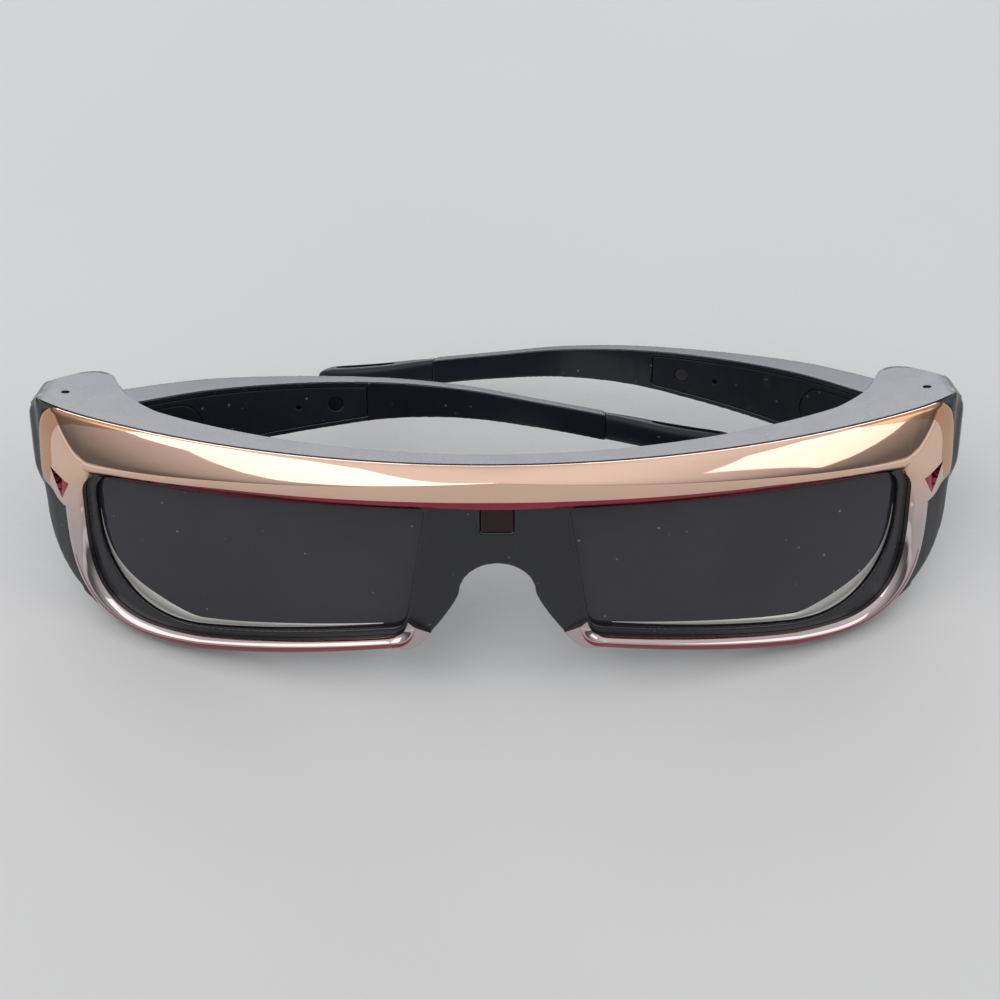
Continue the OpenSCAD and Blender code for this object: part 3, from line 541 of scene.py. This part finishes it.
def wing_station(t):
    star = min(t / WING_STAR, 1)
    ridge = SIDE_CREST - STAR_DROP * star - WING_DROP * t
    inner, outer = wing_in(t), (along(wing_line, t), along(wing_rise, t))
    cheek = 1 - along(COPPER_REFLECTION_W, t) / math.dist(inner, outer)
    return Station(inner, outer, ridge, RIM_RIDGE + (BROW_RIDGE - RIM_RIDGE) * t,
                   RIM_LIP + (LIP_SHARE * ridge - RIM_LIP) * star,
                   (ridge + (1 - ridge) * BAND_FROM, cheek), WING)


def brow_station(s):
    x, xo = TOP_OUT_C[0] * s, WING_END * s
    ridge = BROW_CREST - BROW_DROP * s
    inner, outer = (x, brow_low_z(x)), (xo, brow_z(xo))
    tail = COPPER_REFLECTION_W[-1][1] * max(1 - (1 - s) / COPPER_REFLECTION_TAIL, COPPER_REFLECTION_MIN) / math.dist(inner, outer)
    return Station(inner, outer, ridge, BROW_RIDGE, min(LIP_SHARE * ridge, BROW_LIP),
                   (ridge + (1 - ridge) * BAND_FROM, 1 - tail), BROW if 1 - s > COPPER_REFLECTION_TAIL else WING)


def bezel_stations():
    """Sections of the bezel from nose to nose: an inner and outer edge in the front view, where the ridge
    and the lip lie between them, how high the ridge is and where a painted reflection, dark red or copper, may be
    coloured."""
    out = [nose_station(i / NOSE_N) for i in range(NOSE_N)]
    out += [rim_station(i / RIM_N) for i in range(RIM_N)]
    out += [corner_station(i / CORNER_N) for i in range(CORNER_N + 1)]
    out += [wing_station(i / WING_N) for i in range(1, WING_N + 1)]
    out += [brow_station(1 - i / BROW_N) for i in range(1, BROW_N + 1)]
    return out + [s._replace(inner=(-s.inner[0], s.inner[1]), outer=(-s.outer[0], s.outer[1]))
                  for s in reversed(out[:-1])]


def swell(t, station):
    """Height of the bezel over the face, at a share t of the way from inner to outer edge."""
    r, h = station.ridge, station.height
    if t < r:
        height = h - (h - LIP_H) * ((r - t) / r) ** RIDGE_POWER
    else:
        height = h - (h - BEZEL_EDGE) * ((t - r) / (1 - r)) ** RIDGE_POWER
    edge = max((t - EDGE_ROLL_FROM) / (1 - EDGE_ROLL_FROM), 0)
    return height - LIP_ROLL * max(1 - t / station.lip, 0) ** 2 - EDGE_ROLL * edge ** 2


def on_face(p, h):
    a = face_angle(p[0])
    return (p[0] + h * math.sin(a), face_y(p[0]) - h * math.cos(a), p[1])


def eased(a, b, n):
    """n places from a towards b, closer together near both ends."""
    return [a + (b - a) * (0.5 - 0.5 * math.cos(math.pi * i / n)) for i in range(n)]


def bezel_ring(station):
    stops = (0, station.lip, station.ridge, *station.band, 1)
    places = [t for a, b, n in zip(stops, stops[1:], BEZEL_ROWS) for t in eased(a, b, n)] + [1]
    rows = [(t, swell(t, station)) for t in places]
    rows += [(1, BACK_EDGE), (BACK_EDGE_AT, BACK_GAP), (0.5, BACK_GAP), (0, BACK_GAP)]
    return [on_face(between(station.inner, station.outer, t), h) for t, h in rows]


def aside(p, a, b):
    """Distance of a point of the front view to the right of the line from a to b."""
    run = (b[0] - a[0], b[1] - a[1])
    return ((p[0] - a[0]) * run[1] - (p[1] - a[1]) * run[0]) / math.hypot(*run)


def cut(bm, a, b, side):
    """New edges along the line through a and b of the front view, on one wing."""
    parts = set()
    for f in bm.faces:
        c = f.calc_center_median()
        if CUT_X[0] < side * c.x < CUT_X[1] and CUT_Z[0] < c.z < CUT_Z[1]:
            parts.update((f, *f.edges, *f.verts))
    bmesh.ops.bisect_plane(bm, geom=list(parts), dist=CUT_SNAP, plane_co=(side * a[0], 0, a[1]),
                           plane_no=(side * (b[1] - a[1]), 0, a[0] - b[0]))


def facet_wing(bm, side):
    """Facet cut into the front of one wing, sinking away from its first edge, its colour a painted dark red
    reflection.
    """
    sides = list(zip(SPUR, SPUR[1:] + SPUR[:1]))
    for a, b in sides:
        cut(bm, a, b, side)
    sunk = []
    for v in bm.verts:
        p = (side * v.co.x, v.co.z)
        a = face_angle(v.co.x)
        proud = (face_y(v.co.x) - v.co.y) * math.cos(a)
        if proud > SPUR_FLOOR + SPUR_LEAST and min(aside(p, *ends) for ends in sides) > SPUR_INSIDE:
            depth = min(SPUR_SLOPE * aside(p, *sides[0]), proud - SPUR_FLOOR)
            sunk.append((v, depth * Vector((math.sin(a), -math.cos(a), 0))))
    # painted reflection: the sunk facet takes the dark red mirror colour
    for v, move in sunk:
        v.co -= move
        for f in v.link_faces:
            f.material_index = PAINTED_RED_REFLECTION_FACE


def make_bezel():
    stations = bezel_stations()
    verts, faces = loft([bezel_ring(s) for s in stations])
    bm = draft(verts, faces)
    bm.faces.ensure_lookup_table()
    ring, lip = len(verts) // len(stations), BEZEL_ROWS[0]
    red_reflection_rows = range(sum(BEZEL_ROWS[:3]), sum(BEZEL_ROWS[:4]))
    cheek = range(sum(BEZEL_ROWS[:4]), sum(BEZEL_ROWS))
    for f in bm.faces[:(len(stations) - 1) * ring]:
        row, place = f.index % ring, f.index // ring
        pair = stations[place:place + 2]
        kinds = {s.kind for s in pair}
        on_brow = min(s.height for s in pair) == BROW_RIDGE
        # painted reflection: the rim bands and the brow lip take the dark red mirror colour
        if (kinds == {RIM} and row in red_reflection_rows) or (on_brow and row < lip):
            f.material_index = PAINTED_RED_REFLECTION_FACE
        # painted reflection: the outer rows of the wings and brow ends take the darker copper
        elif kinds == {WING} and row in cheek:
            f.material_index = PAINTED_COPPER_REFLECTION_FACE
        else:
            f.material_index = CHROME_FACE
    for side in (1, -1):
        facet_wing(bm, side)
    for v in bm.verts:
        v.co = rest(v.co)
    return finish_mesh("front_bezel_trim", bm, BEZEL_SHARP)


dress(new_object("front_bezel_trim", make_bezel(), "front", "bezel_chrome", "front_bezel"),
      "bezel_chrome", "painted_red_reflection", "cheek")

# Lenses: smooth curved panes in the lips of the housing, each with a pale crescent along its lower edge
PANE_FRONT = LIP_T + FIT
PANE_ROWS, PANE_STEP = 12, 1.0
LEDGE_W, LEDGE_GAP, LEDGE_RISE, LEDGE_SINK = 2.2, 0.3, 0.75, 0.01
LEDGE_ROWS = 8
LEDGE_SHARE = [(0, 0.04), (0.2, 0.3), (0.45, 0.95), (0.58, 0.9), (0.72, 0.45), (0.86, 0.28), (1, 0.06)]


def pane(side):
    outline = resample(lens_outline(LENS_LAP, 2), PANE_STEP)
    cx = sum(p[0] for p in outline) / len(outline)
    cz = sum(p[1] for p in outline) / len(outline)
    shares = [k / PANE_ROWS for k in range(1, PANE_ROWS + 1)]
    rings = []
    for s, depth in [(s, 0.0) for s in shares] + [(s, LENS_T) for s in reversed(shares)]:
        ring = [(cx + (x - cx) * s, cz + (z - cz) * s) for x, z in outline]
        rings.append([rest((side * x, face_y(x) + PANE_FRONT + depth, z)) for x, z in ring])
    return loft(rings)


def crescent(side):
    outer, inner = lens_low(-LEDGE_GAP, 4), lens_low(-LEDGE_GAP - LEDGE_W, 4)
    rings = []
    for i, (p, q) in enumerate(zip(outer, inner)):
        width = along(LEDGE_SHARE, i / (len(outer) - 1))
        ring = []
        for t in (k / LEDGE_ROWS for k in range(LEDGE_ROWS + 1)):
            rise = LEDGE_RISE * width * math.cos(math.pi / 2 * t)
            ring.append((*between(p, q, width * t), PANE_FRONT - 2 * LEDGE_SINK - rise))
        ring += [(*between(p, q, width * t), PANE_FRONT - LEDGE_SINK) for t in (0.5, 0)]
        rings.append([rest((side * x, face_y(x) + d, z)) for x, z, d in ring])
    return loft(rings)


for side, name in ((1, "left_lens"), (-1, "right_lens")):
    mesh = mesh_from(name + "_pane", *pane(side))
    dress(new_object(name + "_pane", mesh, "front", "lens_glass", name), "lens_glass")
    mesh = mesh_from(name + "_ledge", *crescent(side))
    dress(new_object(name + "_ledge", mesh, "front", "bezel_chrome"), "ledge")

# Roof: one smooth skin from end piece to end piece over the tops of housing and cover
ROOF_SET = 0.12
ROOF_REAR = [(56, rear_y(56)), (59, rear_y(59) + 0.1), (62, 22.4), (66.6, 27.4), (69, 31.2), (70.7, 35.2),
             (72.4, 38.7), (74.6, 40.5), (77.7, 39.9), (80.6, 37.2), (82.3, 35.2), (84, 33.0), (85.5, 31.2)]
ROOF_FRONT = [(81, face_y(81) + ROOF_SET), (82.4, face_y(82.4) + 0.15), (83.2, 24.9), (84, 26.2),
              (84.8, 27.2), (85.5, 28.3)]
ROOF_DROP = [(81.6, 0), (82.6, 0.05), (83.5, 0.25), (84.4, 1.0), (85.5, 2.3)]
ROOF_T, ROOF_PROUD, ROOF_INSET = 0.7, 0.03, 0.04
ROOF_FRONT_EDGE = ((0, -0.4), (0.05, -0.12), (0.2, 0))
ROOF_REAR_EDGE = ((-0.2, 0), (-0.05, -0.1), (0, -0.35), (0, -ROOF_T))
ROOF_ROWS = 9
ROOF_RUNS = ((0, 1.0, 56), (56, 0.55, 47), (82, 0.25, 15))
PIN_HOLE_R, PIN_HOLE_N = 0.8, 24
HOLE_FROM, HOLE_TO = 10, 60


def roof_ring(x):
    z = brow_z(x) + ROOF_PROUD
    far = abs(x)
    y0 = face_y(x) + ROOF_SET if far < ROOF_FRONT[0][0] else along(ROOF_FRONT, far)
    y1 = rear_y(x) if far < ROOF_REAR[0][0] else along(ROOF_REAR, far)
    drop = 0 if far < ROOF_DROP[0][0] else along(ROOF_DROP, far)
    inner = [y0 + (y1 - y0) * (ROOF_INSET + (1 - 2 * ROOF_INSET) * k / ROOF_ROWS)
             for k in range(ROOF_ROWS + 1)]
    top = [(y0 + dy, z + dz) for dy, dz in ROOF_FRONT_EDGE] + [(y, z) for y in inner]
    top += [(y1 + dy, z + dz) for dy, dz in ROOF_REAR_EDGE]
    under = [(y, z - ROOF_T) for y in reversed(inner)] + [(y0, z - ROOF_T)]
    return [(x, y, zz - drop) for y, zz in top + under]


def drilled(name, rings, holes, matrix):
    """Skin in millimetres with upright holes cut through it, then set in its place."""
    obj = bpy.data.objects.new("draft", mesh_from("draft", *loft(rings)))
    scene.collection.objects.link(obj)
    tools = []
    for outline in holes:
        ends = [[(x, y, z) for x, y in outline] for z in (HOLE_FROM, HOLE_TO)]
        tool = bpy.data.objects.new("tool", mesh_from("tool", *loft(ends)))
        scene.collection.objects.link(tool)
        step = obj.modifiers.new("hole", "BOOLEAN")
        step.object = tool
        step.solver = "EXACT"
        tools.append(tool)
    made = settled(obj)
    for spare in tools + [obj]:
        bpy.data.objects.remove(spare)
    made.name = name
    made.transform(matrix)
    bm = bmesh.new()
    bm.from_mesh(made)
    return finish_mesh(name, bm)


half_roof = [start + i * step for start, step, n in ROOF_RUNS for i in range(n)]
roof_rings = [roof_ring(x) for x in [-x for x in reversed(half_roof[1:])] + half_roof]
pin_turn = 360 - 360 / PIN_HOLE_N
pin_holes = [arc((side * HINGE_X, HINGE_Y), PIN_HOLE_R, 0, pin_turn, PIN_HOLE_N - 1) for side in (1, -1)]
mesh = drilled("front_roof", roof_rings, pin_holes, rest_matrix())
dress(new_object("front_roof", mesh, "front", "frame_plastic"), "frame_plastic")

# Ear tips: soft loops with a rounded end and a long slot
ARM_LEN, ARM_BOW, ARM_THIN_T, ARM_MID_H, ARM_DROOP = 126.0, 7.6, 2.6, 6.0, 11.2
ARM_TOP_Z = brow_z(HINGE_X) - 2.0
TIP_LEN, TIP_T, TIP_H, TIP_ROUND, TIP_BLUNT = 26.0, 4.4, 5.2, 3.6, 0.02
TIP_SLOT_W, TIP_SLOT_LEN, TIP_SLOT_END = 1.5, 13.0, 4
TIP_SIDES, TIP_SQUARE = 40, 0.6
TIP_START, TIP_STEP, TIP_STEPS = 0.05, 0.7, 33
TIP_END_STEPS = (0.3, 1, 1.7, 2.3, 2.8, 3.2, 3.45, 3.58)
SLOT_N = 18
arm_in = [(60, 1.03 * ARM_BOW), (ARM_LEN - 49, 0.65 * ARM_BOW), (ARM_LEN - 34, 0.36 * ARM_BOW),
          (ARM_LEN - 20, 0.12 * ARM_BOW), (ARM_LEN - 9, 0), (ARM_LEN, 0)]
arm_thick = [(ARM_LEN - 49, ARM_THIN_T), (ARM_LEN - TIP_LEN, ARM_THIN_T), (ARM_LEN - 18, TIP_T - 0.4),
             (ARM_LEN - 12, TIP_T), (ARM_LEN - 4, TIP_T - 0.4), (ARM_LEN, TIP_T - 1.6)]
arm_top = [(40, ARM_TOP_Z - 0.2), (ARM_LEN - 54, ARM_TOP_Z - 1.6), (ARM_LEN - 39, ARM_TOP_Z - 3.9),
           (ARM_LEN - 24, ARM_TOP_Z - ARM_DROOP + 4.6), (ARM_LEN - 14, ARM_TOP_Z - ARM_DROOP + 2.4),
           (ARM_LEN, ARM_TOP_Z - ARM_DROOP)]
arm_high = [(ARM_LEN - 54, ARM_MID_H), (ARM_LEN - 39, ARM_MID_H - 0.8), (ARM_LEN - 24, TIP_H),
            (ARM_LEN - 9, TIP_H), (ARM_LEN, TIP_H - 1.2)]


def tip_ring(u):
    """Rounded section of an ear tip, drawn in to a blunt point over its last millimetres."""
    v0, high, top, wide = (along(table, u) for table in (arm_in, arm_high, arm_top, arm_thick))
    over = max(u - ARM_LEN + TIP_ROUND, 0) / (TIP_ROUND + TIP_BLUNT)
    shrink = math.sqrt(1 - over ** 2)
    ring = []
    for i in range(TIP_SIDES):
        a = 2 * math.pi * i / TIP_SIDES
        c, s = (math.copysign(abs(k) ** TIP_SQUARE, k) for k in (math.cos(a), math.sin(a)))
        ring.append((u, v0 + wide / 2 * (1 + shrink * c), top - high / 2 * (1 - shrink ** TIP_SQUARE * s)))
    return ring


def tip_slot():
    """Outline of the slot, along the middle of the tip."""
    start = ARM_LEN - TIP_SLOT_END - TIP_SLOT_LEN
    near, far = [], []
    for i in range(1, SLOT_N):
        u = start + TIP_SLOT_LEN * (i - 1) / (SLOT_N - 2)
        v = along(arm_in, u) + along(arm_thick, u) / 2
        half = TIP_SLOT_W / 2 * (1 - (2 * i / SLOT_N - 1) ** 4) ** 0.5
        near.append((u, v - half))
        far.append((u, v + half))
    return near + far[::-1]


tip_us = [ARM_LEN - TIP_LEN + TIP_START + i * TIP_STEP for i in range(TIP_STEPS)]
tip_us += [ARM_LEN - TIP_ROUND + k for k in TIP_END_STEPS]
for side in ("left", "right"):
    name = side + "_ear_tip"
    place = rest_matrix() @ arm_matrix(side)
    mesh = drilled(name + "_loop", [tip_ring(u) for u in tip_us], [tip_slot()], place)
    dress(new_object(name + "_loop", mesh, body_of[name], slot_of[name], name), slot_of[name])

# Moulded pieces: the solids with softened edges, each with its voxel, passes and share of faces kept
END_SIDE_X, END_SIDE_PASSES = 0.0775, 30
for node, voxel, passes, share in (
        ("front_housing", 0.26, 5, 0.35), ("rear_cover", 0.28, 6, 0.3), ("nose_pad", 0.16, 8, 0.25),
        ("left_temple", 0.2, 6, 0.3), ("right_temple", 0.2, 6, 0.3),
        ("left_temple_cover", 0.14, 4, 0.25), ("right_temple_cover", 0.14, 4, 0.25),
        ("left_inner_cap", 0.1, 4, 0.25), ("right_inner_cap", 0.1, 4, 0.25)):
    piece = rounded(node, voxel, passes, share)
    if node == "front_housing":
        soften(piece.data, END_SIDE_X, END_SIDE_PASSES)
    dress(piece, slot_of[node])

for name, obj in nodes.items():
    dress(obj, slot_of[name])

# Floor, light and camera
FLOOR_HALF = 3
mesh = bpy.data.meshes.new("floor")
mesh.from_pydata([(x * FLOOR_HALF, y * FLOOR_HALF, 0) for x, y in ((-1, -1), (1, -1), (1, 1), (-1, 1))],
                 [], [(0, 1, 2, 3)])
floor = bpy.data.objects.new("floor", mesh)
scene.collection.objects.link(floor)
mesh.materials.append(material("pale_floor", (0.66, 0.66, 0.655), (0.69, 0.69, 0.685), (0.75, 0.85),
                               grain=(700, 4e-5), patch=6.0, spec=0.3))

SKY = ((0.0, 0.85), (0.05, 0.80), (0.11, 0.12), (0.22, 0.15), (0.45, 0.45), (1.0, 0.95))
SKY_TINT = (1, 1.005, 1.03)
world = bpy.data.worlds.new("studio")
scene.world = world
world.use_nodes = True
tree = world.node_tree
coord = tree.nodes.new("ShaderNodeTexCoord")
split = tree.nodes.new("ShaderNodeSeparateXYZ")
sky = tree.nodes.new("ShaderNodeValToRGB")
tree.links.new(coord.outputs["Generated"], split.inputs["Vector"])
tree.links.new(split.outputs["Z"], sky.inputs["Fac"])
tree.links.new(sky.outputs["Color"], tree.nodes["Background"].inputs["Color"])
while len(sky.color_ramp.elements) < len(SKY):
    sky.color_ramp.elements.new(0.5)
for element, (place, level) in zip(sky.color_ramp.elements, SKY):
    element.position = place
    element.color = (*(level * k for k in SKY_TINT), 1)
tree.nodes["Background"].inputs["Strength"].default_value = 1.0


def softbox(name, place, aim, size, radiance, colour=(1, 1, 1)):
    lamp = bpy.data.lights.new(name, "AREA")
    lamp.shape = "RECTANGLE"
    lamp.size, lamp.size_y = size
    lamp.energy = radiance * math.pi * size[0] * size[1]
    lamp.color = colour
    obj = bpy.data.objects.new(name, lamp)
    scene.collection.objects.link(obj)
    obj.location = place
    obj.rotation_euler = (Vector(aim) - Vector(place)).to_track_quat("-Z", "Y").to_euler()


softbox("key", (-0.5, -0.35, 0.95), (0, 0, 0.02), (1.1, 0.7), 1.25)
softbox("fill", (0.75, -0.25, 0.6), (0, 0, 0.02), (0.55, 0.5), 1.2)
softbox("back", (0.0, 1.15, 0.22), (0, 0, 0.06), (2.2, 0.44), 2.8, (0.95, 0.98, 1.05))

CAM_AIM = (0, 15, 20)
CAM_TILT, CAM_ROLL = math.radians(25), math.radians(-0.35)
CAM_FAR = 330
cam = bpy.data.objects.new("camera", bpy.data.cameras.new("camera"))
scene.collection.objects.link(cam)
eye = rest((CAM_AIM[0], CAM_AIM[1] - CAM_FAR * math.cos(CAM_TILT), CAM_AIM[2] + CAM_FAR * math.sin(CAM_TILT)))
look = (rest(CAM_AIM) - eye).to_track_quat("-Z", "Y").to_matrix().to_4x4()
cam.location = eye
cam.rotation_euler = (look @ Matrix.Rotation(CAM_ROLL, 4, "Z")).to_euler()
cam.data.sensor_width = 36
cam.data.lens = 65.34
cam.data.shift_x, cam.data.shift_y = 0.0029, 0.0338
cam.data.clip_start, cam.data.clip_end = 0.01, 20
scene.camera = cam
scene.view_settings.view_transform = "Standard"
